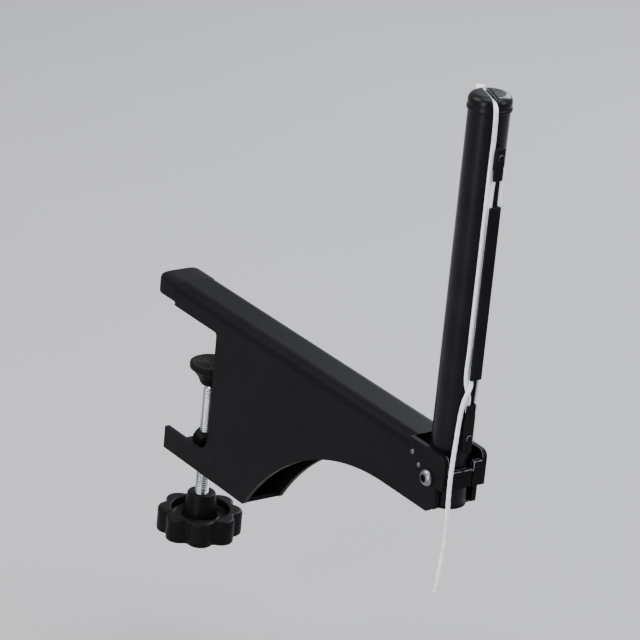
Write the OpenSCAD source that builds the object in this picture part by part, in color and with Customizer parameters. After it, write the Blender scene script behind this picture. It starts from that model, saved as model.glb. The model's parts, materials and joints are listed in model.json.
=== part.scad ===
// Net clamp for a table tennis table: a folded steel bracket that grips the
// table edge with a thumb screw and carries an upright post, over whose top
// the net's tension cord runs down to a winder.
// Origin: on the jaw pad's lower face, on the clamp screw's axis.
// +X points away from the table, +Z up. Millimetres.

/* [Bracket] */
// Width of the bracket across its two side plates
bracket_w = 20; // [19:0.5:22]
// Thickness of the folded steel sheet
sheet_t = 2; // [1.5:0.25:2]
// Height of the bracket's top above the table
arm_top = 11; // [10:0.5:13]
// Radius of the fold between the top and the side plates
bend_r = 5; // [3:0.5:6]
// Distance from the screw axis to the end of the upper arm's steel
arm_reach = 17; // [16:1:24]
// Length of the moulded nose on the upper arm
nose_len = 15; // [10:1:18]
// Distance from the screw axis to the throat that meets the table edge
throat_x = 15.5; // [14:0.5:18]
// Depth of the throat, from the table top to the lower arm
throat_drop = 54.5; // [50:0.5:60]
// Height of the lower arm
lower_arm_h = 10; // [8:0.5:12]
// Distance from the screw axis to the tip of the lower arm
lower_reach = 19; // [17:0.5:22]
// Distance from the screw axis to the lower arm's outer corner
corner_x = 44.5; // [40:0.5:50]
// Radius of the arch under the bracket
arch_r = 111; // [105:1:120]
// Depth of the bracket beside the post, below the table top
beam_drop = 14.6; // [13:0.2:16]
// Distance from the screw axis to the bracket's outer end
end_x = 174; // [172:1:180]

/* [Post] */
// Distance from the screw axis to the post's axis
post_x = 164; // [160:1:164]
// Outer diameter of the post
post_d = 15.9; // [14:0.1:16]
// Wall of the post tube
post_wall = 1.2; // [1:0.1:1.5]
// Height of the tube's upper end above the table
post_top = 146; // [138:0.5:150]
// Height of the cap above the tube
cap_h = 6.1; // [5.5:0.1:7]
// Radius of the cap's rounded upper edge
cap_edge_r = 2.8; // [2:0.2:3]
// Width of the cord groove in the cap
groove_w = 2.2; // [2.2:0.1:3]

/* [Clamp screw] */
// Diameter of the screw
screw_d = 5.9; // [5.8:0.05:5.95]
// Diameter of the nut's thread
nut_bore = 6; // [6:0.01:6.05]
// Thickness of the table that the clamp grips as drawn
grip = 20; // [16:1:24]
// Diameter of the pressure foot
foot_d = 19; // [16:0.5:20]
// Height of the pressure foot with its pad
foot_h = 10; // [10:0.5:12]
// Overall diameter of the knob
knob_d = 37; // [34:0.5:40]
// Height of the knob's rim
knob_rim_h = 11; // [9:0.5:12]
// Number of lobes round the knob
lobes = 8; // [6:1:9]
// Distance from the table top down to the knob's hub
knob_drop = 80; // [80:0.5:84]

/* [Cord] */
// Diameter of the tension cord
cord_d = 1.8; // [1.6:0.1:1.8]
// Lower end of the winder's lower notch
notch_low = 31.5; // [30:0.5:34]
// Lower end of the winder's upper notch
notch_high = 111; // [105:0.5:112]
// Height of each notch
notch_h = 10.5; // [9:0.5:11]

/* [Hidden] */
$fn = 64;
slack = 0.1;
inner_w = bracket_w - 2 * sheet_t;

// lower arm and beam
lower_top = -throat_drop;
lower_bottom = -throat_drop - lower_arm_h;
beam_z = -beam_drop;
arch_x = corner_x + sqrt(pow(arch_r, 2) - pow(arch_r - (beam_z - lower_bottom), 2));
skirt = 0.5;
side_open_x = post_x - 13;
lip_low = -3;
near_lip_top = 4.2;
far_lip_top = 7.2;
lip_seam = 3.8;

// jaw pad
pad_h = 2.6;
pad_w = 15;

// post fixings
bolt_z = -1;
bolt_d = 4;
pin_d = 2.2;
pin_places = [[post_x - 6, 1.8], [post_x - 10.6, 5.4]];
post_low = -11;
post_r = post_d / 2;
plug_top = 9;

// cap
cap_r = post_r + 0.65;
cap_crown = 0.3;
groove_z = post_top + cap_h - 3.2;
groove_out = post_r + 0.05;
groove_edge_r = 2;
groove_turn = -19;
groove_side = -0.55;

// winder
web_t = 2;
web_y = 0.65;
strand_x = post_x + 8.85;
strand_gap = web_t + 2 * slack;
flange_x = strand_x + cord_d / 2 + 0.2;
flange_t = 1;
rail_root = post_x + 6;
winder_side = -2.1;
block_w = 3.1;
lip_side = -2.9;
rail_w = 4.9;
end_w = 3.9;
notch_floor = post_x + post_r + 0.7;
winder_low = 12;
winder_high = 134;
loop_low = notch_low - 5.5;
loop_high = notch_high + notch_h + 5.5;
rivet_y = winder_side + block_w / 2;
rivet_zs = [winder_low + 6, winder_high - 3.6];
rivet_hole = 1.05;

// screw and foot
foot_top = -grip;
pad_disc_h = 1.5;
foot_low = foot_top - foot_h;
button_r = 3.2;
button_top = foot_low + 5;
button_h = 2.4;
neck_r = 2.2;
hub_top = -knob_drop;
hub_h = 7.5;
rim_top = hub_top - hub_h;
knob_low = rim_top - knob_rim_h;
nut_af = 10;
nut_h = 11.4;
knob_nut_h = 5;
knob_nut_low = knob_low + 2.2;
screw_low = knob_nut_low + 0.4;
lobe_r = knob_d * 0.15;
lobe_depth = 2.7;
lobe_turn = 14;
dish_depth = 3.5;
dish_r = knob_d / 2 - 6;

// route of the cord, from the net's end to the free end
cord_route = [
    [155.5, 2.4, 150], [157.4, 1.7, 150], [159.3, 1.1, 150], [161.2, 0.4, 150],
    [163.1, -0.2, 150], [164.9, -0.9, 150], [166.8, -1.5, 150], [168.4, -2.1, 150],
    [169.7, -2.5, 150], [170.7, -2.9, 149.8], [171.7, -3.2, 149.1], [172.3, -3.4, 148.1],
    [172.5, -3.5, 146.8], [172.6, -3.4, 145], [172.6, -3.3, 142], [172.5, -3.1, 137],
    [172.4, -3.1, 131], [172.4, -3.1, 124], [172.4, -3.1, 117],
    [172.4, -3.1, 110], [172.4, -3.1, 102], [172.4, -3.1, 94], [172.4, -3.1, 86],
    [172.4, -3.1, 78], [172.4, -3.1, 70], [172.4, -3.1, 62], [172.4, -3.1, 54],
    [172.5, -3.2, 46], [172.7, -3.5, 39], [173.2, -4.2, 32], [173.9, -5.3, 26],
    [174.8, -6.6, 19], [175.6, -7.7, 11], [175.9, -8.2, 3], [176, -8.1, -5],
    [176, -7.7, -13], [176, -7.6, -21], [176, -8.1, -29], [176, -8.8, -37],
    [176, -9.3, -43]
];

function unit(v) = v / norm(v);
// direction of a route at one of its points
function heading(path, i) =
    unit(path[min(i + 1, len(path) - 1)] - path[max(i - 1, 0)]);
// ring of points round a route's point, square to its heading
function ring(path, i, r, sides) =
    let (t = heading(path, i),
         a = unit(cross(t, [0.3, 1, 0.1])),
         b = cross(t, a))
    [for (k = [0:sides - 1])
        path[i] + r * (a * cos(360 * k / sides) + b * sin(360 * k / sides))];
// corner of an outline, rounded to radius r
function corner(before, at, after, r, steps = 6) =
    let (u = unit(before - at),
         v = unit(after - at),
         half = acos(u * v) / 2,
         reach = r / tan(half),
         centre = at + unit(u + v) * r / sin(half),
         a = at + u * reach - centre,
         b = at + v * reach - centre,
         sweep = 180 - 2 * half)
    r == 0 ? [at] :
    [for (k = [0:steps])
        centre + (a * sin(sweep * (1 - k / steps)) + b * sin(sweep * k / steps)) / sin(sweep)];
// outline through [point, radius] pairs, closed
function outline(list) =
    [for (i = [0:len(list) - 1])
        each corner(list[(i + len(list) - 1) % len(list)][0], list[i][0],
                    list[(i + 1) % len(list)][0], list[i][1])];

// tube swept along a route
module swept(path, d, sides = 8) {
    rings = len(path);
    polyhedron(
        points = [for (i = [0:rings - 1]) each ring(path, i, d / 2, sides)],
        faces = concat(
            [[for (k = [0:sides - 1]) k]],
            [for (i = [0:rings - 2], k = [0:sides - 1])
                [i * sides + k, (i + 1) * sides + k,
                 (i + 1) * sides + (k + 1) % sides, i * sides + (k + 1) % sides]],
            [[for (k = [sides - 1:-1:0]) (rings - 1) * sides + k]]),
        convexity = 6);
}

// solid of an XZ outline, centred on the middle plane
module across(w) {
    rotate([90, 0, 0]) linear_extrude(w, center = true, convexity = 6) children();
}

// cylinder along Y
module cross_pin(x, z, r, y0, y1) {
    translate([x, y1, z]) rotate([90, 0, 0]) cylinder(r = r, h = y1 - y0);
}

// section of the folded top, in Y and Z
module arch_section(w, top, bend, bottom) {
    translate([-w / 2, bottom]) square([w, top - bend - bottom]);
    translate([-w / 2 + bend, bottom]) square([w - 2 * bend, top - bottom]);
    for (s = [-1, 1]) translate([s * (w / 2 - bend), top - bend]) circle(r = bend);
}

// outline of the side plates
module side_outline() {
    difference() {
        polygon(outline([
            [[-arm_reach, skirt], 0],
            [[-arm_reach, arm_top + 1], 0],
            [[side_open_x, arm_top + 1], 0],
            [[side_open_x, arm_top], 0],
            [[end_x, arm_top], 3],
            [[end_x, lip_low], 1],
            [[end_x - 4, lip_low], 0],
            [[end_x - 4, beam_z + 2.4], 1],
            [[end_x - 7.5, beam_z + 2.4], 0],
            [[end_x - 8, beam_z], 1.5],
            [[arch_x, beam_z], 0],
            [[arch_x, lower_bottom - 5], 0],
            [[corner_x + 1, lower_bottom - 5], 0],
            [[corner_x, lower_bottom], 0],
            [[-lower_reach - 0.5, lower_bottom], 1.5],
            [[-lower_reach + 1.5, lower_top], 1.5],
            [[throat_x, lower_top], 8],
            [[throat_x, skirt], 1.5]
        ]));
        translate([arch_x, beam_z - arch_r]) circle(r = arch_r, $fn = 180);
        translate([corner_x, lower_bottom - 6]) square([arch_x - corner_x + 1, 6]);
    }
}

// folded sheet: top, two side plates and the two end lips
module bracket_shell() {
    color([0.11, 0.11, 0.125])
    difference() {
        union() {
            intersection() {
                rotate([90, 0, 90]) translate([0, 0, -arm_reach])
                    linear_extrude(side_open_x + arm_reach)
                    difference() {
                        arch_section(bracket_w, arm_top, bend_r, lower_bottom - 1);
                        arch_section(inner_w, arm_top - sheet_t, bend_r - sheet_t,
                                     lower_bottom - 2);
                    }
                across(bracket_w + 2) side_outline();
            }
            intersection() {
                for (s = [-1, 1])
                    translate([side_open_x, s * (bracket_w - sheet_t) / 2, 0])
                        translate([0, -sheet_t / 2, beam_z - 1])
                        cube([end_x - side_open_x + 1, sheet_t, arm_top - beam_z + 2]);
                across(bracket_w + 2) side_outline();
            }
            translate([end_x - sheet_t, -bracket_w / 2, lip_low])
                cube([sheet_t, bracket_w / 2 + lip_seam - 0.3, near_lip_top - lip_low]);
            translate([end_x - sheet_t, lip_seam + 0.3, lip_low])
                cube([sheet_t, bracket_w / 2 - lip_seam - 0.3, far_lip_top - lip_low]);
        }
        cross_pin(post_x, bolt_z, bolt_d / 2 + slack, -bracket_w, bracket_w);
        for (p = pin_places)
            cross_pin(p[0], p[1], pin_d / 2 + 0.02, -bracket_w, bracket_w);
    }
}

// plate that closes the underside of the lower arm
module lower_web() {
    web_start = -lower_reach + 1;
    web_end = corner_x - 0.3;
    color([0.12, 0.12, 0.135])
    difference() {
        translate([web_start, -inner_w / 2, lower_bottom])
            cube([web_end - web_start, inner_w, sheet_t]);
        translate([0, 0, lower_bottom - 1]) cylinder(d = nut_bore + 0.6, h = sheet_t + 2);
    }
}

// moulded nose plugged into the upper arm
module arm_nose() {
    nose_w = bracket_w - 1;
    tip_r = 5;
    color([0.14, 0.12, 0.15])
    union() {
        hull() {
            for (s = [-1, 1]) {
                translate([-arm_reach - nose_len + tip_r, s * (nose_w / 2 - tip_r), 1])
                    cylinder(r = tip_r, h = 5, $fn = 32);
                translate([-arm_reach - nose_len + tip_r, s * (nose_w / 2 - tip_r), 6])
                    sphere(r = tip_r - 0.6, $fn = 32);
                translate([-arm_reach - 1, s * (nose_w / 2 - 4.5), arm_top - 5.5])
                    rotate([0, 90, 0]) cylinder(r = 4.5, h = 1, $fn = 32);
            }
            translate([-arm_reach - 1, -nose_w / 2, 1]) cube([1, nose_w, 4]);
        }
        translate([-arm_reach - 0.5, -inner_w / 2 + 0.3, pad_h + 0.3])
            cube([9, inner_w - 0.6, arm_top - sheet_t - bend_r + 1.6 - pad_h]);
    }
}

// rubber pad that rests on the table
module jaw_pad() {
    color([0.07, 0.07, 0.075])
    translate([-arm_reach + 1, -pad_w / 2, 0]) cube([arm_reach + throat_x - 3, pad_w, pad_h]);
}

// long hexagon nut welded on the lower web, with its top bevelled
module screw_nut() {
    color([0.16, 0.16, 0.17])
    translate([0, 0, lower_bottom + sheet_t])
    difference() {
        intersection() {
            cylinder(d = nut_af / cos(30), h = nut_h, $fn = 6);
            rotate_extrude() polygon([
                [0, 0], [nut_af * 0.6, 0], [nut_af * 0.6, nut_h - 3],
                [nut_bore / 2 + 0.8, nut_h], [0, nut_h]
            ]);
        }
        translate([0, 0, -1]) cylinder(d = nut_bore, h = nut_h + 2);
    }
}

module post_tube() {
    color([0.09, 0.09, 0.1])
    difference() {
        translate([post_x, 0, post_low]) cylinder(r = post_r, h = post_top - post_low, $fn = 96);
        translate([post_x, 0, post_low - 1])
            cylinder(r = post_r - post_wall, h = post_top - post_low + 2, $fn = 96);
        cross_pin(post_x, bolt_z, bolt_d / 2 + slack, -bracket_w, bracket_w);
        for (p = pin_places)
            cross_pin(p[0], p[1], pin_d / 2 + 0.02, -bracket_w, bracket_w);
        for (z = rivet_zs)
            translate([post_x, rivet_y, z]) rotate([0, 90, 0]) cylinder(r = rivet_hole, h = 12);
    }
}

// plug that fills the post's foot and carries its bolt
module post_foot_plug() {
    color([0.16, 0.16, 0.17])
    difference() {
        union() {
            translate([post_x, 0, post_low]) cylinder(r = post_r - post_wall - 0.05,
                                                      h = plug_top - post_low);
            translate([post_x, 0, post_low - 1.5]) cylinder(r = post_r, h = 1.5);
        }
        cross_pin(post_x, bolt_z, bolt_d / 2 + slack, -bracket_w, bracket_w);
        for (p = pin_places)
            cross_pin(p[0], p[1], pin_d / 2 + 0.02, -bracket_w, bracket_w);
    }
}

// button-head bolt through both plates and the post
module post_bolt() {
    head_r = 3.4;
    color([0.72, 0.73, 0.75])
    difference() {
        union() {
            cross_pin(post_x, bolt_z, bolt_d / 2, -bracket_w / 2 - 0.5, bracket_w / 2 + 5.2);
            translate([post_x, -bracket_w / 2, bolt_z]) rotate([90, 0, 0])
                rotate_extrude() polygon([
                    [0, 0], [head_r, 0], [head_r, 0.6], [head_r * 0.9, 1.2],
                    [head_r * 0.7, 1.7], [head_r * 0.5, 2], [0, 2]
                ]);
        }
        translate([post_x, -bracket_w / 2 - 2.5, bolt_z]) rotate([-90, 0, 0])
            cylinder(d = 2.9, h = 1.8, $fn = 6);
    }
}

module bolt_washer() {
    color([0.68, 0.69, 0.7])
    difference() {
        cross_pin(post_x, bolt_z, 4.5, bracket_w / 2, bracket_w / 2 + 0.8);
        cross_pin(post_x, bolt_z, bolt_d / 2 + 0.02, bracket_w / 2 - 1, bracket_w / 2 + 2);
    }
}

module bolt_nut() {
    y0 = bracket_w / 2 + 0.8;
    color([0.66, 0.67, 0.69])
    difference() {
        translate([post_x, y0 + 3.8, bolt_z]) rotate([90, 0, 0])
            cylinder(d = 7 / cos(30), h = 3.8, $fn = 6);
        cross_pin(post_x, bolt_z, bolt_d / 2 + 0.02, y0 - 1, y0 + 6);
    }
}

// spring pins through both plates: one through the post's wall, one behind it
module locating_pins() {
    color([0.7, 0.7, 0.72])
    for (p = pin_places)
        cross_pin(p[0], p[1], pin_d / 2, -bracket_w / 2 - 0.3, bracket_w / 2 + 0.3);
}

// flat-topped cap with a groove for the cord, eased over its outer edge
module post_cap() {
    plug_r = post_r - post_wall - 0.05;
    bead_h = 1.5;
    bead = 0.25;
    above = cap_h + 2;
    color([0.08, 0.08, 0.09])
    difference() {
        translate([post_x, 0, post_top]) union() {
            rotate_extrude($fn = 96) polygon(outline([
                [[0, 0], 0],
                [[cap_r, 0], bead],
                [[cap_r, bead_h], bead],
                [[cap_r - bead, bead_h], 0],
                [[cap_r - bead, cap_h], cap_edge_r],
                [[0, cap_h + cap_crown], 0]
            ]));
            translate([0, 0, -10]) cylinder(r = plug_r, h = 10.5);
        }
        translate([post_x, groove_side, 0]) rotate(groove_turn) across(groove_w)
            polygon(outline([
                [[-cap_r - 2, groove_z], 0],
                [[groove_out, groove_z], groove_edge_r],
                [[groove_out, post_top - 1], 0],
                [[cap_r + 2, post_top - 1], 0],
                [[cap_r + 2, post_top + above], 0],
                [[-cap_r - 2, post_top + above], 0]
            ]));
        translate([post_x, 0, post_top - 11]) cylinder(r = plug_r - 1.3, h = 10);
    }
}

// rail on the post's outer face, with two notches, that the cord is wound on
module cord_winder() {
    color([0.1, 0.1, 0.11])
    difference() {
        union() {
            translate([rail_root, web_y - web_t / 2, loop_low + cord_d + slack])
                cube([flange_x - rail_root, web_t, loop_high - loop_low - 2 * cord_d - 2 * slack]);
            translate([flange_x, lip_side, notch_low + notch_h])
                cube([flange_t, rail_w, notch_high - notch_low - notch_h]);
            winder_end(winder_low, loop_low - slack, notch_low);
            winder_end(loop_high + slack, winder_high, notch_high + notch_h);
        }
        translate([post_x, 0, 0]) cylinder(r = post_r, h = post_top, $fn = 96);
        for (z = [notch_low, notch_high])
            translate([notch_floor, web_y - web_t, z])
                cube([flange_x - notch_floor + flange_t, 2 * web_t, notch_h]);
        for (z = rivet_zs)
            translate([post_x, rivet_y, z]) rotate([0, 90, 0]) cylinder(r = rivet_hole, h = 14);
    }
}

// block at an end of the rail, with its lip over the winding up to notch_z
module winder_end(low, high, notch_z) {
    translate([rail_root, winder_side, low])
        cube([flange_x - rail_root + flange_t, block_w, high - low]);
    translate([flange_x, lip_side, min(low, notch_z)])
        cube([flange_t, end_w, max(high, notch_z) - min(low, notch_z)]);
}

module winder_rivets() {
    head_x = flange_x + flange_t;
    seat_x = post_x + post_r - 2.4;
    color([0.6, 0.6, 0.62])
    for (z = rivet_zs) translate([0, rivet_y, z]) rotate([0, 90, 0]) {
        translate([0, 0, seat_x]) cylinder(r = 1, h = head_x - seat_x + 0.1);
        translate([0, 0, head_x]) rotate_extrude() polygon([
            [0, 0], [1.4, 0], [1.32, 0.3], [1, 0.6], [0.5, 0.75], [0, 0.78]
        ]);
    }
}

module tension_cord() {
    color([0.93, 0.93, 0.94]) swept(cord_route, cord_d);
}

// one turn of the cord, lengthwise round the winder's web
module cord_winding() {
    loop_w = strand_gap + 2 * cord_d;
    color([0.9, 0.9, 0.91])
    translate([strand_x, web_y, 0]) rotate([0, 90, 0])
    linear_extrude(cord_d, center = true) difference() {
        union() {
            translate([-loop_high + loop_w / 2, -loop_w / 2])
                square([loop_high - loop_low - loop_w, loop_w]);
            for (z = [loop_low + loop_w / 2, loop_high - loop_w / 2])
                translate([-z, 0]) circle(d = loop_w);
        }
        translate([-loop_high + cord_d, -strand_gap / 2])
            square([loop_high - loop_low - 2 * cord_d, strand_gap]);
    }
}

// stopper knot at the net's end of the cord
module net_end_knot() {
    color([0.92, 0.92, 0.93])
    translate(cord_route[0] - 2.1 * [cos(groove_turn), sin(groove_turn), 0]) sphere(r = 2.2, $fn = 32);
}

// sealed tip of the cord's free end
module cord_tip() {
    last = cord_route[len(cord_route) - 1];
    color([0.85, 0.85, 0.84]) translate(last - [0, 0, 0.9]) sphere(r = 1.15, $fn = 24);
}

// cup that presses on the table's underside
module pressure_foot() {
    color([0.1, 0.1, 0.11])
    difference() {
        translate([0, 0, foot_low]) rotate_extrude() polygon([
            [0, 0], [4, 0], [4.6, 0.8], [5.6, 3.2], [foot_d / 2 - 1.4, foot_h - 3.6],
            [foot_d / 2, foot_h - 2.6], [foot_d / 2, foot_h - 0.6],
            [foot_d / 2 - 0.4, foot_h - 0.2], [foot_d / 2 - 0.7, foot_h - 0.2],
            [foot_d / 2 - 0.7, foot_h - pad_disc_h], [0, foot_h - pad_disc_h]
        ]);
        translate([0, 0, foot_low - 1]) cylinder(r = button_r + 0.08, h = button_top - foot_low + 1.2);
    }
}

// rubber disc in the pressure foot
module foot_pad() {
    color([0.06, 0.06, 0.065])
    translate([0, 0, foot_top - pad_disc_h]) cylinder(r = foot_d / 2 - 0.7, h = pad_disc_h);
}

// ring that keeps the screw's button in the foot
module foot_ring() {
    color([0.55, 0.56, 0.58])
    translate([0, 0, foot_low + 0.3])
    difference() {
        cylinder(r = button_r + 0.08, h = button_top - button_h - foot_low - 0.5);
        translate([0, 0, -1]) cylinder(r = neck_r + 0.08, h = 6);
    }
}

// screw with a button end that turns in the foot
module clamp_screw() {
    color([0.74, 0.75, 0.77]) {
        translate([0, 0, screw_low]) cylinder(d = screw_d, h = foot_low - 0.4 - screw_low);
        translate([0, 0, foot_low - 0.5]) cylinder(r = neck_r, h = button_top - foot_low - 1);
        translate([0, 0, button_top - button_h]) cylinder(r = button_r, h = button_h);
    }
}

// lobed knob with a raised hub in a dished top
module knob() {
    color([0.08, 0.08, 0.085])
    difference() {
        union() {
            difference() {
                translate([0, 0, knob_low]) rotate(lobe_turn) linear_extrude(knob_rim_h) {
                    circle(r = knob_d / 2 - lobe_depth);
                    for (k = [0:lobes - 1]) rotate(360 * k / lobes)
                        translate([knob_d / 2 - lobe_r, 0]) circle(r = lobe_r, $fn = 48);
                }
                translate([0, 0, rim_top - dish_depth])
                    cylinder(r1 = dish_r - 1.2, r2 = dish_r + 0.1, h = dish_depth + 0.1);
            }
            translate([0, 0, rim_top - dish_depth - 0.5])
                cylinder(r1 = 7.7, r2 = 6, h = hub_h + dish_depth + 0.5);
        }
        translate([0, 0, knob_low - 1]) cylinder(d = screw_d + 0.04, h = knob_rim_h + hub_h + 2);
        translate([0, 0, knob_low - 1])
            cylinder(d = (nut_af + slack) / cos(30), h = knob_nut_low + knob_nut_h - knob_low + 1,
                     $fn = 6);
        translate([0, 0, knob_low - 1]) cylinder(r = 7.5, h = 2.6);
    }
}

// nut moulded into the knob
module knob_nut() {
    color([0.7, 0.66, 0.45])
    translate([0, 0, knob_nut_low]) difference() {
        cylinder(d = nut_af / cos(30), h = knob_nut_h, $fn = 6);
        translate([0, 0, -1]) cylinder(d = screw_d + 0.04, h = knob_nut_h + 2);
    }
}

// disc that closes the knob's underside
module knob_cap() {
    color([0.1, 0.1, 0.105])
    translate([0, 0, knob_low]) cylinder(r = 7.45, h = 1.5);
}

bracket_shell();
lower_web();
arm_nose();
jaw_pad();
screw_nut();
post_tube();
post_foot_plug();
post_bolt();
bolt_washer();
bolt_nut();
locating_pins();
post_cap();
cord_winder();
winder_rivets();
tension_cord();
cord_winding();
net_end_knot();
cord_tip();
pressure_foot();
foot_pad();
foot_ring();
clamp_screw();
knob();
knob_nut();
knob_cap();
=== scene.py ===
"""Looks of the net clamp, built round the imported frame. Metres, +Z up, +X away from the table."""

import json
import math

import bmesh
import bpy
from mathutils import Matrix, Vector

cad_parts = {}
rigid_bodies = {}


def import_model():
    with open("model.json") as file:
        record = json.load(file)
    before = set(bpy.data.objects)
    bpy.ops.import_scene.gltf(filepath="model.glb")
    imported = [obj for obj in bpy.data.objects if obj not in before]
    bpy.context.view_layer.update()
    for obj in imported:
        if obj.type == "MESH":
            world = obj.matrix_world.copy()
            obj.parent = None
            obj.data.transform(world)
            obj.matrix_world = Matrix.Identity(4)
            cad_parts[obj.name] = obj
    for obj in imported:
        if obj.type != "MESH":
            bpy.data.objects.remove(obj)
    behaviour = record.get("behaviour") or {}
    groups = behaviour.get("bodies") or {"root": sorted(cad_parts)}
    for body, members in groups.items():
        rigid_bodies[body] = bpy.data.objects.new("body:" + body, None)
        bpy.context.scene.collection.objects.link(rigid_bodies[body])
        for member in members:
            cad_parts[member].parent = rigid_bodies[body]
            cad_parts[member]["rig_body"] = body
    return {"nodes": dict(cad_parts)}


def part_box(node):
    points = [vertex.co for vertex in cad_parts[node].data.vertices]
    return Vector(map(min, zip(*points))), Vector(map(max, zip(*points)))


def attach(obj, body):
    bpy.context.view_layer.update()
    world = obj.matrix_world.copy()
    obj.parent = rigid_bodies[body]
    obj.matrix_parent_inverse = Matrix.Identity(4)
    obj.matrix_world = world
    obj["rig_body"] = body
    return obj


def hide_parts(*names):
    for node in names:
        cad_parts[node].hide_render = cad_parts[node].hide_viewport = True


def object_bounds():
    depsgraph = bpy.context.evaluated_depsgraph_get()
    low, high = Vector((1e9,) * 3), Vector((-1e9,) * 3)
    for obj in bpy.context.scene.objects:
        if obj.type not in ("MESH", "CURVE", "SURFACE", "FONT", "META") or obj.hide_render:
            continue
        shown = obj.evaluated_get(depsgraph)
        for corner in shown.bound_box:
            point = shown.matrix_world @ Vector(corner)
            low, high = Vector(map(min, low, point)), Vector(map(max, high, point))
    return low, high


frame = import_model()
nodes = frame["nodes"]
cad_low, cad_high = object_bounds()
MM = 0.001


def mm(x, y, z):
    """A point given in millimetres, in metres."""
    return Vector((x, y, z)) * MM


# ---------------------------------------------------------------- camera

CAMERA_PLACE = mm(1108, -763, 546)
CAMERA_ROLL = math.radians(5.5)
CAMERA_LENS = 196


def make_camera():
    camera = bpy.data.objects.new("camera", bpy.data.cameras.new("camera"))
    bpy.context.scene.collection.objects.link(camera)
    aim = (cad_low + cad_high) / 2
    back = CAMERA_PLACE - aim
    turned = back.to_track_quat("Z", "Y") @ Matrix.Rotation(CAMERA_ROLL, 3, "Z").to_quaternion()
    camera.location = CAMERA_PLACE
    camera.rotation_mode = "QUATERNION"
    camera.rotation_quaternion = turned
    camera.data.lens = CAMERA_LENS
    camera.data.sensor_width = 36
    camera.data.clip_start = 0.05
    bpy.context.scene.camera = camera


# ---------------------------------------------------------------- node materials

class Shader:
    """A procedural material in the making, on object coordinates in metres."""

    def __init__(self, name):
        self.material = bpy.data.materials.new(name)
        self.material.use_nodes = True
        self.tree = self.material.node_tree
        self.surface = self.tree.nodes["Principled BSDF"]
        self.place = self.tree.nodes.new("ShaderNodeTexCoord").outputs["Object"]

    def link(self, output, socket):
        self.tree.links.new(output, socket)

    def stretched(self, scale):
        """Object coordinates scaled along each axis."""
        node = self.tree.nodes.new("ShaderNodeMapping")
        node.inputs["Scale"].default_value = scale
        self.link(self.place, node.inputs["Vector"])
        return node.outputs["Vector"]

    def noise(self, scale, detail=3.0, roughness=0.5, along=None):
        node = self.tree.nodes.new("ShaderNodeTexNoise")
        node.inputs["Scale"].default_value = scale
        node.inputs["Detail"].default_value = detail
        node.inputs["Roughness"].default_value = roughness
        self.link(along or self.place, node.inputs["Vector"])
        return node.outputs["Fac"]

    def ramp(self, value, low, high, to_low=0.0, to_high=1.0):
        """Maps value from low..high to to_low..to_high, and clamps it."""
        node = self.tree.nodes.new("ShaderNodeMapRange")
        limits = {"From Min": low, "From Max": high, "To Min": to_low, "To Max": to_high}
        for name, number in limits.items():
            node.inputs[name].default_value = number
        self.link(value, node.inputs["Value"])
        return node.outputs["Result"]

    def axis(self, name):
        """One object coordinate, in metres."""
        node = self.tree.nodes.new("ShaderNodeSeparateXYZ")
        self.link(self.place, node.inputs["Vector"])
        return node.outputs[name]

    def product(self, a, b):
        node = self.tree.nodes.new("ShaderNodeMath")
        node.operation = "MULTIPLY"
        self.link(a, node.inputs[0])
        self.link(b, node.inputs[1])
        return node.outputs["Value"]

    def mixed(self, share, first, second):
        """Colour mixed by share; first and second are colours or outputs."""
        node = self.tree.nodes.new("ShaderNodeMix")
        node.data_type = "RGBA"
        self.link(share, node.inputs["Factor"])
        for name, colour in (("A", first), ("B", second)):
            socket = [s for s in node.inputs if s.name == name and s.type == "RGBA"][0]
            if isinstance(colour, bpy.types.NodeSocket):
                self.link(colour, socket)
            else:
                socket.default_value = (*colour, 1)
        return [s for s in node.outputs if s.type == "RGBA"][0]

    def edges(self, radius, low=0.02, high=0.2):
        """1 on convex and concave edges, 0 on flat faces."""
        rounded = self.tree.nodes.new("ShaderNodeBevel")
        rounded.samples = 4
        rounded.inputs["Radius"].default_value = radius
        flat = self.tree.nodes.new("ShaderNodeNewGeometry")
        dot = self.tree.nodes.new("ShaderNodeVectorMath")
        dot.operation = "DOT_PRODUCT"
        self.link(rounded.outputs["Normal"], dot.inputs[0])
        self.link(flat.outputs["Normal"], dot.inputs[1])
        return self.ramp(dot.outputs["Value"], 1 - low, 1 - high)

    def bump(self, height, strength, distance):
        """Adds a bump under any bump that is already there."""
        node = self.tree.nodes.new("ShaderNodeBump")
        node.inputs["Strength"].default_value = strength
        node.inputs["Distance"].default_value = distance
        self.link(height, node.inputs["Height"])
        earlier = self.surface.inputs["Normal"].links
        if earlier:
            self.link(earlier[0].from_socket, node.inputs["Normal"])
        self.link(node.outputs["Normal"], self.surface.inputs["Normal"])

    def colour(self, output):
        self.link(output, self.surface.inputs["Base Color"])

    def rough(self, output):
        self.link(output, self.surface.inputs["Roughness"])

    def uniform(self, **values):
        names = {
            "metallic": "Metallic", "specular": "Specular IOR Level",
            "sheen": "Sheen Weight", "sheen_roughness": "Sheen Roughness",
            "subsurface": "Subsurface Weight",
        }
        for name, value in values.items():
            self.surface.inputs[names[name]].default_value = value


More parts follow.
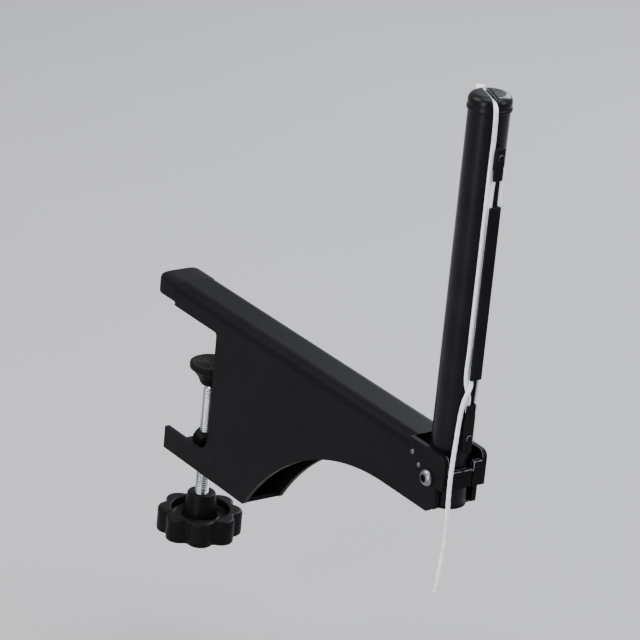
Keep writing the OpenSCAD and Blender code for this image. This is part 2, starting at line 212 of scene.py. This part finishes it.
def painted_steel():
    """Black powder coat: orange peel, faint clouds, edges rubbed a little lighter, and a painted
    highlight in bare-steel grey along the lips' upper edges, where their glint falls."""
    m = Shader("painted_steel")
    body = m.mixed(m.ramp(m.noise(30, 3), 0.3, 0.75), (0.0038, 0.0038, 0.0045), (0.0050, 0.0050, 0.0060))
    rubbed = m.product(m.edges(0.0003, 0.04, 0.3), m.ramp(m.noise(260, 4), 0.42, 0.62))
    painted = m.mixed(rubbed, body, (0.013, 0.013, 0.015))
    # the masks below pick out the lips' upper edges between the plates, for a painted highlight
    x, y, z = m.axis("X"), m.axis("Y"), m.axis("Z")
    between_plates = m.product(m.ramp(y, -0.0088, -0.0080), m.ramp(y, 0.0076, 0.0084, 1, 0))
    upper_end = m.product(m.ramp(x, 0.1712, 0.1720), m.ramp(z, 0.0032, 0.0038))
    at_lips = m.product(upper_end, between_plates)
    # painted highlight: a light bare-steel grey laid on the lips' upper edges where their glint falls
    lip_highlight = m.product(at_lips, m.product(m.edges(0.0005, 0.02, 0.12), m.ramp(m.noise(420, 3), 0.36, 0.5)))
    m.colour(m.mixed(lip_highlight, painted, (0.42, 0.42, 0.44)))
    m.rough(m.ramp(m.noise(120, 3), 0.3, 0.7, 0.38, 0.48))
    m.bump(m.noise(1500, 2), 0.10, 0.0002)
    m.bump(m.noise(420, 2), 0.05, 0.0003)
    m.uniform(specular=0.055)
    return m.material


def painted_tube():
    """Gloss black paint on a drawn tube, with faint marks along it."""
    m = Shader("painted_tube")
    clouds = m.ramp(m.noise(60, 3), 0.35, 0.7)
    body = m.mixed(clouds, (0.0034, 0.0031, 0.0046), (0.0056, 0.0051, 0.0074))
    rings = m.ramp(m.noise(12, 4, 0.7, m.stretched((12, 12, 200))), 0.68, 0.74, 0, 0.3)
    m.colour(m.mixed(rings, body, (0.014, 0.013, 0.018)))
    m.rough(m.ramp(m.noise(90, 3), 0.3, 0.7, 0.26, 0.36))
    m.bump(m.noise(900, 2), 0.05, 0.0003)
    m.uniform(specular=0.14)
    return m.material


def moulded(name, dark, light, rough_low, rough_high, specular, grain=2600):
    """Moulded plastic: fine grain, slight clouds and edges rubbed lighter."""
    m = Shader(name)
    clouds = m.ramp(m.noise(70, 3), 0.35, 0.7)
    rubbed = m.product(m.edges(0.0005), m.ramp(m.noise(300, 3), 0.4, 0.65, 0.2, 0.9))
    rubbed_colour = [2.2 * c + 0.006 for c in light]
    m.colour(m.mixed(rubbed, m.mixed(clouds, dark, light), rubbed_colour))
    m.rough(m.ramp(m.noise(160, 3), 0.3, 0.7, rough_low, rough_high))
    m.bump(m.noise(grain, 2), 0.12, 0.00012)
    m.uniform(specular=specular)
    return m.material


def plated(name, dark, light, rough_low, rough_high):
    """Zinc plate: bright metal with faint clouds and fine turning marks."""
    m = Shader(name)
    clouds = m.ramp(m.noise(180, 4), 0.35, 0.7)
    grime = m.product(m.edges(0.0004, 0.05, 0.3), m.ramp(m.noise(500, 3), 0.5, 0.7, 0, 0.7))
    m.colour(m.mixed(grime, m.mixed(clouds, dark, light), (0.16, 0.155, 0.15)))
    m.rough(m.ramp(m.noise(350, 3), 0.3, 0.7, rough_low, rough_high))
    m.bump(m.noise(60, 2, 0.5, m.stretched((8, 8, 260))), 0.08, 0.0001)
    m.uniform(metallic=1.0)
    return m.material


def rubber():
    """Matte black rubber with a dusty bloom."""
    m = Shader("rubber")
    bloom = m.ramp(m.noise(150, 5, 0.6), 0.42, 0.72)
    m.colour(m.mixed(bloom, (0.007, 0.007, 0.007), (0.020, 0.0195, 0.019)))
    m.rough(m.ramp(m.noise(220, 3), 0.3, 0.7, 0.72, 0.92))
    m.bump(m.noise(1800, 3), 0.3, 0.0002)
    m.uniform(specular=0.15)
    return m.material


def white_cord():
    """White polyester braid, a little grey where it is handled."""
    m = Shader("white_cord")
    handled = m.ramp(m.noise(240, 4), 0.45, 0.72)
    m.colour(m.mixed(handled, (0.88, 0.88, 0.89), (0.70, 0.70, 0.71)))
    m.rough(m.ramp(m.noise(900, 3), 0.3, 0.7, 0.62, 0.82))
    m.bump(m.noise(7000, 3), 0.35, 0.00012)
    m.uniform(sheen=0.25, sheen_roughness=0.5, subsurface=0.05)
    return m.material


def brass():
    m = Shader("brass")
    m.colour(m.mixed(m.ramp(m.noise(200, 4), 0.35, 0.7), (0.52, 0.40, 0.18), (0.66, 0.52, 0.26)))
    m.rough(m.ramp(m.noise(300, 3), 0.3, 0.7, 0.28, 0.42))
    m.bump(m.noise(800, 2), 0.08, 0.0001)
    m.uniform(metallic=1.0)
    return m.material


PAINT = painted_steel()
TUBE_PAINT = painted_tube()
NOSE = moulded("nose_plastic", (0.0040, 0.0032, 0.0050), (0.0062, 0.0052, 0.0076), 0.46, 0.60, 0.07)
PLASTIC = moulded("black_plastic", (0.0036, 0.0036, 0.0040), (0.0062, 0.0062, 0.0069), 0.42, 0.56, 0.07)
CAP = moulded("cap_plastic", (0.0034, 0.0034, 0.0040), (0.0054, 0.0054, 0.0062), 0.24, 0.34, 0.13, 1400)
KNOB = moulded("knob_plastic", (0.0034, 0.0034, 0.0037), (0.0058, 0.0058, 0.0064), 0.34, 0.48, 0.07)
ZINC = plated("zinc_plate", (0.17, 0.175, 0.18), (0.27, 0.275, 0.285), 0.24, 0.38)
DULL_METAL = plated("dull_metal", (0.10, 0.10, 0.11), (0.17, 0.17, 0.18), 0.24, 0.36)
# painted shade: a near-black plating for the inside of the bolt's socket, where shade falls
PAINTED_SHADE = plated("painted_shade", (0.020, 0.020, 0.022), (0.035, 0.035, 0.038), 0.5, 0.7)
SCREW_METAL = plated("screw_metal", (0.42, 0.43, 0.45), (0.56, 0.57, 0.59), 0.16, 0.26)
RUBBER = rubber()
CORD = white_cord()
BRASS = brass()


# ---------------------------------------------------------------- mesh tools

def add_piece(name, vertices, faces, body, material, replaced):
    """A smooth mesh from points in metres, riding on a body, that stands for the replaced nodes."""
    mesh = bpy.data.meshes.new(name)
    mesh.from_pydata([tuple(v) for v in vertices], [], faces)
    mesh.validate()
    work = bmesh.new()
    work.from_mesh(mesh)
    bmesh.ops.recalc_face_normals(work, faces=work.faces)
    work.to_mesh(mesh)
    work.free()
    mesh.polygons.foreach_set("use_smooth", [True] * len(mesh.polygons))
    mesh.materials.append(material)
    piece = bpy.data.objects.new(name, mesh)
    bpy.context.scene.collection.objects.link(piece)
    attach(piece, body)
    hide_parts(*replaced)
    return piece


def grid_faces(rows, columns, closed_rows=False):
    """Quads of a grid whose columns run round; closed_rows joins the last row to the first."""
    faces = []
    for i in range(rows if closed_rows else rows - 1):
        for j in range(columns):
            k = (j + 1) % columns
            n = (i + 1) % rows
            faces.append((i * columns + j, i * columns + k, n * columns + k, n * columns + j))
    return faces


def end_face(row, columns):
    """The face that closes a grid at one of its rows."""
    return tuple(range(row * columns, (row + 1) * columns))


def about_z(radius, angle, z):
    """A point in metres from a radius, an angle and a height, in millimetres."""
    return mm(radius * math.cos(angle), radius * math.sin(angle), z)


def eased(points, steps=5):
    """A 2-D line through (a, b, radius) points, with its corners rounded."""
    line = [Vector(points[0][:2])]
    for before, at, after in zip(points, points[1:], points[2:]):
        p = Vector(at[:2])
        u = (Vector(before[:2]) - p).normalized()
        v = (Vector(after[:2]) - p).normalized()
        half = u.angle(v) / 2
        if at[2] <= 0 or half > 1.55:
            line.append(p)
            continue
        reach = at[2] / math.tan(half)
        start = p + u * reach
        end = p + v * reach
        for k in range(steps + 1):
            t = k / steps
            line.append((1 - t) ** 2 * start + 2 * t * (1 - t) * p + t ** 2 * end)
    line.append(Vector(points[-1][:2]))
    return line


def turned(profile, columns=72, shape=None):
    """Vertices and faces of a profile of (radius, z) in mm turned round Z, closed at its ends.
    shape(radius, angle) may change a radius."""
    shape = shape or (lambda radius, angle: radius)
    vertices = []
    for radius, z in profile:
        for j in range(columns):
            angle = 2 * math.pi * j / columns
            vertices.append(about_z(shape(radius, angle), angle, z))
    faces = grid_faces(len(profile), columns)
    faces += [end_face(0, columns), end_face(len(profile) - 1, columns)]
    return vertices, faces


def softened(node, material, width, painted_shade=None):
    """A copy of a CAD node with its edges rounded by width mm, which stands for it. The last argument is
    a test on a point in mm: faces whose corners all pass it are coloured dark, as painted shade."""
    source = nodes[node]
    mesh = source.data.copy()
    mesh.name = node + "_piece"
    work = bmesh.new()
    work.from_mesh(mesh)
    bmesh.ops.remove_doubles(work, verts=work.verts, dist=2e-6)
    bmesh.ops.dissolve_limit(work, angle_limit=math.radians(0.4), verts=work.verts, edges=work.edges)
    work.to_mesh(mesh)
    work.free()
    mesh.polygons.foreach_set("use_smooth", [True] * len(mesh.polygons))
    mesh.materials.clear()
    mesh.materials.append(material)
    # faces inside the test get the near-black material as painted shade
    if painted_shade:
        mesh.materials.append(PAINTED_SHADE)
        for face in mesh.polygons:
            face.material_index = all(painted_shade(mesh.vertices[v].co / MM) for v in face.vertices)
    piece = bpy.data.objects.new(mesh.name, mesh)
    bpy.context.scene.collection.objects.link(piece)
    bevel = piece.modifiers.new("bevel", "BEVEL")
    bevel.width = width * MM
    bevel.segments = 3
    bevel.limit_method = "ANGLE"
    bevel.angle_limit = math.radians(28)
    normals = piece.modifiers.new("normals", "WEIGHTED_NORMAL")
    normals.weight = 100
    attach(piece, source["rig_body"])
    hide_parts(node)
    return piece


# ---------------------------------------------------------------- cord

CORD_R = 0.9
# all routes are in millimetres; this one is over the cap and down to the lower notch
OVER_CAP = [
    (155.5, 2.4, 150), (159.3, 1.1, 150), (163.1, -0.2, 150), (166.8, -1.5, 150),
    (169.7, -2.5, 150), (170.7, -2.9, 149.8), (171.7, -3.2, 149.1), (172.3, -3.4, 148.1),
    (172.5, -3.5, 146.8), (172.6, -3.4, 145), (172.6, -3.3, 142), (172.5, -3.1, 137),
    (172.4, -3.1, 131), (172.4, -3.1, 102), (172.4, -3.1, 78), (172.4, -3.1, 54),
    (172.45, -3.1, 41.5), (172.5, -2.85, 39.5), (172.6, -2.4, 38), (172.75, -1.8, 36),
]
# one turn lengthwise round the winder's web, inside the CAD winding
ROUND_WINDER = [
    (172.85, -1.4, 34), (172.85, -1.35, 31), (172.85, -1.05, 28.2), (172.85, -0.3, 27.2),
    (172.85, 0.65, 26.9), (172.85, 1.6, 27.2), (172.75, 2.35, 28.2), (172.65, 2.55, 31),
    (172.65, 2.5, 60), (172.65, 2.5, 92), (172.65, 2.55, 122), (172.75, 2.35, 124.8),
    (172.85, 1.6, 125.8), (172.85, 0.65, 126.1), (172.85, -0.3, 125.8), (172.85, -1.05, 124.8),
    (172.85, -1.35, 122), (172.85, -1.35, 92), (172.85, -1.35, 60),
]
# out of the lower notch over the first strand, and the free end
HANGING = [
    (172.95, -1.4, 44), (173.5, -1.6, 41.2), (174.2, -2.2, 39.5), (174.5, -3, 37.8),
    (174.3, -3.8, 36), (174, -4.4, 33.5), (173.9, -5.1, 29), (174.2, -5.8, 24),
    (174.9, -6.7, 18.5), (175.6, -7.7, 11), (175.9, -8.2, 3), (176, -8.1, -5),
    (176, -7.7, -13), (176, -7.6, -21), (176, -8.1, -29), (176, -8.8, -37), (176, -9.3, -43),
]


def smooth_path(points, spacing):
    """Smooth curve through points, sampled about every spacing."""
    gaps = [(b - a).length for a, b in zip(points, points[1:])]
    slopes = [(b - a) / gap for a, b, gap in zip(points, points[1:], gaps)]
    headings = [slopes[0]]
    for i in range(1, len(slopes)):
        near, far = gaps[i - 1], gaps[i]
        headings.append((slopes[i - 1] * far + slopes[i] * near) / (near + far))
    headings.append(slopes[-1])
    path = []
    for i, gap in enumerate(gaps):
        count = max(2, round(gap / spacing))
        for k in range(count):
            t = k / count
            onward = 3 * t ** 2 - 2 * t ** 3
            path.append(points[i] * (1 - onward) + points[i + 1] * onward
                        + headings[i] * gap * (t ** 3 - 2 * t ** 2 + t)
                        + headings[i + 1] * gap * (t ** 3 - t ** 2))
    path.append(points[-1])
    return path


def tube(path, radius, sides, relief=None, closed=False):
    """Vertices and faces of a tube along a path. relief(ring, side) scales the radius."""
    relief = relief or (lambda i, j: 1.0)
    last = len(path) - 1
    heading = (path[1] - path[0]).normalized()
    side = heading.orthogonal().normalized()
    vertices = []
    for i, point in enumerate(path):
        before = path[i - 1] if i else (path[-1] if closed else path[0])
        after = path[i + 1] if i < last else (path[0] if closed else path[-1])
        heading = (after - before).normalized()
        side = (side - heading * side.dot(heading)).normalized()
        across = heading.cross(side)
        for j in range(sides):
            angle = 2 * math.pi * j / sides
            r = radius * relief(i, j)
            vertices.append(point + r * (side * math.cos(angle) + across * math.sin(angle)))
    faces = grid_faces(len(path), sides, closed)
    if not closed:
        faces += [end_face(0, sides), end_face(last, sides)]
    return vertices, faces


def braid(i, j, sides=16, rings=7):
    """Relief of a braided cover: strands that cross both ways."""
    one = math.cos(2 * math.pi * (4 * j / sides + i / rings))
    other = math.cos(2 * math.pi * (4 * j / sides - i / rings))
    return 0.965 + 0.035 * max(one, other)


def make_cord():
    """The whole cord as one braided tube, and its centreline."""
    path = smooth_path([mm(*p) for p in OVER_CAP + ROUND_WINDER + HANGING], 0.45 * MM)
    vertices, faces = tube(path, CORD_R * MM, 16, braid)
    cord = add_piece("tension_cord_braid", vertices, faces, "bracket", CORD,
                     ("tension_cord", "cord_winding"))
    return cord, path


def make_knot():
    """A tight overhand knot where the cord meets the net."""
    low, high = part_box("net_end_knot")
    centre = (low + high) / 2
    depth, size, strand_r, points = 0.546, 0.46, 0.78, 90
    loops = []
    for k in range(points):
        t = 2 * math.pi * k / points
        loops.append(centre + mm(-depth * math.sin(3 * t),
                                 size * (math.sin(t) + 2 * math.sin(2 * t)),
                                 size * (math.cos(t) - 2 * math.cos(2 * t))))
    vertices, faces = tube(loops, strand_r * MM, 16, braid, closed=True)
    return add_piece("stopper_knot", vertices, faces, "bracket", CORD, ("net_end_knot",))


def make_tip():
    """The melted, slightly lumpy tip of the free end."""
    low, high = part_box("cord_tip")
    centre = (low + high) / 2
    profile = eased([(0.05, -1.1, 0), (0.75, -1.1, 0.3), (1.05, -0.2, 0.5), (0.95, 0.7, 0.3),
                     (0.05, 1.0, 0)], 4)

    def lumpy(radius, angle):
        return radius * (1 + 0.06 * math.sin(3 * angle) + 0.04 * math.cos(5 * angle))

    vertices, faces = turned(profile, 20, lumpy)
    return add_piece("melted_tip", [v + centre for v in vertices], faces, "bracket", CORD,
                     ("cord_tip",))


# ---------------------------------------------------------------- bracket

def in_socket(point):
    """Whether a point, in millimetres, is inside the socket of the bolt's head."""
    low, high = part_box("post_bolt")
    axis = (low + high) / 2 / MM
    socket_r, socket_reach = 1.8, 3
    from_axis = math.hypot(point.x - axis.x, point.z - axis.z)
    return from_axis < socket_r and point.y < low.y / MM + socket_reach


def make_nose():
    """The moulded nose: a lofted block whose tip is rounded in plan and from the side."""
    low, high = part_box("arm_nose")
    arm_low, arm_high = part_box("bracket_shell")
    tip_x = low.x / MM
    length = arm_low.x / MM - tip_x
    half_w = (high.y - low.y) / 2 / MM
    bottom, top = 0.9, arm_high.z / MM - 0.15
    tip_length = 3.4
    side_tuck, top_tuck, bottom_tuck = 2.6, 2.2, 0.9
    upper_corner, lower_corner = 0.42, 0.22
    rows, columns = 19, 56
    vertices = []
    for i in range(rows):
        x = tip_x + length * (1 - math.cos(i / (rows - 1) * math.pi / 2))
        into_tip = max(0.0, 1 - (x - tip_x) / tip_length)
        tuck = 1 - math.sqrt(1 - into_tip ** 2)
        half = half_w - side_tuck * tuck
        roof = top - top_tuck * tuck
        floor = bottom + bottom_tuck * tuck
        middle = (floor + roof) / 2
        tall = (roof - floor) / 2
        for j in range(columns):
            angle = 2 * math.pi * j / columns
            c, s = math.cos(angle), math.sin(angle)
            corner = upper_corner if s > 0 else lower_corner
            y = half * math.copysign(abs(c) ** corner, c)
            z = middle + tall * math.copysign(abs(s) ** corner, s)
            vertices.append(mm(x, y, z))
    faces = grid_faces(rows, columns)
    faces += [end_face(0, columns), end_face(rows - 1, columns)]
    return add_piece("moulded_nose", vertices, faces, "bracket", NOSE, ("arm_nose",))


def make_cap():
    """The flat-topped cap: its CAD shape remeshed finely, so that the groove's edges are soft."""
    mesh = nodes["post_cap"].data.copy()
    mesh.name = "grooved_cap"
    mesh.materials.clear()
    mesh.materials.append(CAP)
    cap = bpy.data.objects.new("grooved_cap", mesh)
    bpy.context.scene.collection.objects.link(cap)
    weld = cap.modifiers.new("weld", "WELD")
    weld.merge_threshold = 2e-6
    remesh = cap.modifiers.new("remesh", "REMESH")
    remesh.mode = "VOXEL"
    remesh.voxel_size = 0.2 * MM
    remesh.use_smooth_shade = True
    smooth = cap.modifiers.new("smooth", "SMOOTH")
    smooth.factor = 0.5
    smooth.iterations = 4
    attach(cap, "bracket")
    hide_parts("post_cap")
    return cap


# ---------------------------------------------------------------- screw, foot and knob

def make_screw():
    """M6 screw: a core with its button end, and a thread that runs out at both ends."""
    low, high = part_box("clamp_screw")
    bottom, top = low.z / MM, high.z / MM
    core, crest, pitch = 2.42, 2.95, 1.0
    root = core - 0.06
    neck, button, button_low = 2.2, 3.2, top - 2.4
    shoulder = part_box("pressure_foot")[0].z / MM - 0.4
    profile = eased([(0.05, bottom, 0), (core, bottom, 0.3), (core, shoulder - 0.5, 0.1),
                     (neck, shoulder, 0.1), (neck, button_low, 0.1), (button, button_low, 0.2),
                     (button, top, 0.4), (0.05, top, 0)], 3)
    vertices, faces = turned(profile, 40)
    shape = [0.0, 0.55, 1.0, 1.0, 0.55, 0.0]
    steps, columns = len(shape), 36
    thread_low, run_out = bottom + 0.4, 1.5
    rows = int((shoulder - 0.3 - bottom) / pitch) * steps - steps
    start = len(vertices)
    for i in range(rows + steps):
        fade = min(1.0, i / steps / run_out, max(0.0, (rows - i)) / steps / run_out)
        r = root + (crest - root) * shape[i % steps] * fade
        for j in range(columns):
            z = thread_low + (i / steps + j / columns) * pitch
            vertices.append(about_z(r, 2 * math.pi * j / columns, z))
    for i in range(rows - 1):
        for j in range(columns):
            here = start + i * columns + j
            above = here + columns
            if j + 1 < columns:
                beside, over = here + 1, above + 1
            else:
                beside = start + (i + steps) * columns
                over = beside + columns
            faces.append((here, beside, over, above))
    used = sorted({v for f in faces for v in f})
    order = {v: k for k, v in enumerate(used)}
    faces = [tuple(order[v] for v in f) for f in faces]
    return add_piece("threaded_screw", [vertices[v] for v in used], faces, "screw", SCREW_METAL,
                     ("clamp_screw",))


LOBES = 8
LOBE_TURN = math.radians(14)


def make_knob():
    """The lobed knob, with a soft rim, a dished top and a raised hub."""
    low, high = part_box("knob")
    bottom, hub_top = low.z / MM, high.z / MM
    outer = (high.x - low.x) / 2 / MM
    lobe_r, waist, fillet = 0.3 * outer, outer - 2.7, 0.9
    rim_top = bottom + 11
    dish = rim_top - 3.5
    step = 2 * math.pi / LOBES

    def outline(angle):
        """Radius of the lobed outline, with its notches softened."""
        off = (angle - LOBE_TURN + step / 2) % step - step / 2
        centre = outer - lobe_r
        inside = lobe_r ** 2 - (centre * math.sin(off)) ** 2
        lobe = centre * math.cos(off) + math.sqrt(max(0.0, inside))
        blend = max(fillet - abs(lobe - waist), 0) / fillet
        return max(lobe, waist) + blend ** 2 * fillet / 4

    hub = eased([(3.1, hub_top - 4, 0), (3.1, hub_top, 0.25), (6, hub_top, 0.7), (7.55, dish, 0.9),
                 (11.7, dish, 1.1), (12.6, rim_top, 0.5), (13.1, rim_top, 0)], 5)
    rim = eased([(-2.6, rim_top, 0), (0, rim_top, 1.5), (0, bottom, 1.2), (-3.6, bottom, 0)], 7)
    base = [(9, bottom), (7.5, bottom), (7.5, bottom + 1.2)]
    rows = []
    for part, lobed in ((hub, False), (rim, True), (base, False)):
        rows += [(r, z, lobed) for r, z in part]
    columns = 192
    vertices = []
    for r, z, lobed in rows:
        for j in range(columns):
            angle = 2 * math.pi * j / columns
            vertices.append(about_z(outline(angle) + r if lobed else r, angle, z))
    faces = grid_faces(len(rows), columns)
    faces.append(end_face(len(rows) - 1, columns))
    return add_piece("lobed_knob", vertices, faces, "screw", KNOB, ("knob",))


def make_foot():
    """The pressure foot: a turned cup with a soft rim."""
    low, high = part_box("pressure_foot")
    z, r = low.z / MM, (high.x - low.x) / 2 / MM
    profile = eased([(2.4, z + 1, 0), (3.2, z + 0.05, 0.2), (4, z, 0.3), (4.7, z + 0.9, 0.5),
                     (5.6, z + 3.2, 1.2), (r - 1.4, z + 6.4, 1.2), (r, z + 7.4, 0.5), (r, z + 9.6, 0.4),
                     (r - 0.75, z + 9.75, 0.15), (r - 0.75, z + 8.6, 0)], 5)
    vertices, faces = turned(profile, 80)
    return add_piece("pressure_cup", vertices, faces, "foot", PLASTIC, ("pressure_foot",))


def make_foot_pad():
    """The rubber disc, with moulded rings on its face."""
    low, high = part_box("foot_pad")
    r, base, face = (high.x - low.x) / 2 / MM, low.z / MM, high.z / MM
    points = [(0.05, base, 0), (r - 0.05, base, 0), (r - 0.05, face, 0.25)]
    rings, spacing, groove = 4, 1.9, face - 0.35
    for ring in range(rings):
        edge = r - 1.2 - spacing * ring
        points += [(edge, face, 0.1), (edge - 0.25, groove, 0.1), (edge - 0.75, groove, 0.1),
                   (edge - 1.0, face, 0.1)]
    points.append((0.05, face, 0))
    vertices, faces = turned(eased(points, 2), 72)
    return add_piece("ringed_pad", vertices, faces, "foot", RUBBER, ("foot_pad",))


# ---------------------------------------------------------------- studio

FLOOR_SIZE = 6
FLOOR_GAP = 0.06


def make_floor():
    """A plain pale floor under the object."""
    work = bmesh.new()
    bmesh.ops.create_grid(work, x_segments=2, y_segments=2, size=FLOOR_SIZE)
    mesh = bpy.data.meshes.new("floor")
    work.to_mesh(mesh)
    work.free()
    floor = bpy.data.objects.new("floor", mesh)
    floor.location = (0, 0, cad_low.z - FLOOR_GAP)
    bpy.context.scene.collection.objects.link(floor)
    pale = Shader("pale_floor")
    pale.colour(pale.mixed(pale.noise(3, 2), (0.34, 0.34, 0.35), (0.37, 0.37, 0.37)))
    pale.surface.inputs["Roughness"].default_value = 0.9
    pale.uniform(specular=0.1)
    mesh.materials.append(pale.material)


def make_lights():
    """A soft studio: even pale surroundings and five area lamps."""
    world = bpy.data.worlds.new("world")
    world.use_nodes = True
    world.node_tree.nodes["Background"].inputs["Color"].default_value = (0.90, 0.93, 1.0, 1)
    world.node_tree.nodes["Background"].inputs["Strength"].default_value = 0.55
    bpy.context.scene.world = world

    aim = Vector((0.09, 0, 0.03))
    lamps = (
        # name, place, width, height, power, colour
        ("strip", (0.52, -1.05, 0.28), 0.28, 0.9, 9, (0.97, 0.96, 1.0)),
        ("key", (-0.55, -1.0, 1.15), 0.8, 0.8, 20, (1.0, 0.985, 0.96)),
        ("top", (0.25, 0.15, 1.3), 1.1, 1.1, 24, (0.97, 0.985, 1.0)),
        ("rim", (1.0, 0.8, 0.75), 0.5, 0.5, 8, (0.88, 0.93, 1.0)),
        ("back", (-0.5, 1.1, 0.7), 0.7, 0.7, 16, (0.92, 0.95, 1.0)),
    )
    for name, place, width, height, power, colour in lamps:
        data = bpy.data.lights.new(name, "AREA")
        data.shape = "RECTANGLE"
        data.size = width
        data.size_y = height
        data.energy = power
        data.color = colour
        lamp = bpy.data.objects.new(name, data)
        lamp.location = place
        lamp.rotation_mode = "QUATERNION"
        lamp.rotation_quaternion = (Vector(place) - aim).to_track_quat("Z", "Y")
        bpy.context.scene.collection.objects.link(lamp)


# ---------------------------------------------------------------- the whole

make_camera()
cord, cord_path = make_cord()
knot = make_knot()
tip = make_tip()

softened("bracket_shell", PAINT, 0.45)
softened("lower_web", PAINT, 0.3)
softened("screw_nut", PAINT, 0.25)
softened("jaw_pad", RUBBER, 0.5)
make_nose()
softened("post_tube", TUBE_PAINT, 0.25)
softened("post_foot_plug", PLASTIC, 0.4)
# the socket in the bolt's head is coloured near-black as painted shade
softened("post_bolt", ZINC, 0.15, in_socket)
softened("bolt_washer", ZINC, 0.15)
softened("bolt_nut", ZINC, 0.3)
softened("locating_pins", DULL_METAL, 0.4)
make_cap()
softened("cord_winder", PLASTIC, 0.35)
softened("winder_rivets", PAINT, 0.1)
make_screw()
make_knob()
make_foot()
make_foot_pad()
softened("knob_nut", BRASS, 0.2)
softened("knob_cap", KNOB, 0.35)
softened("foot_ring", ZINC, 0.15)
make_floor()
make_lights()
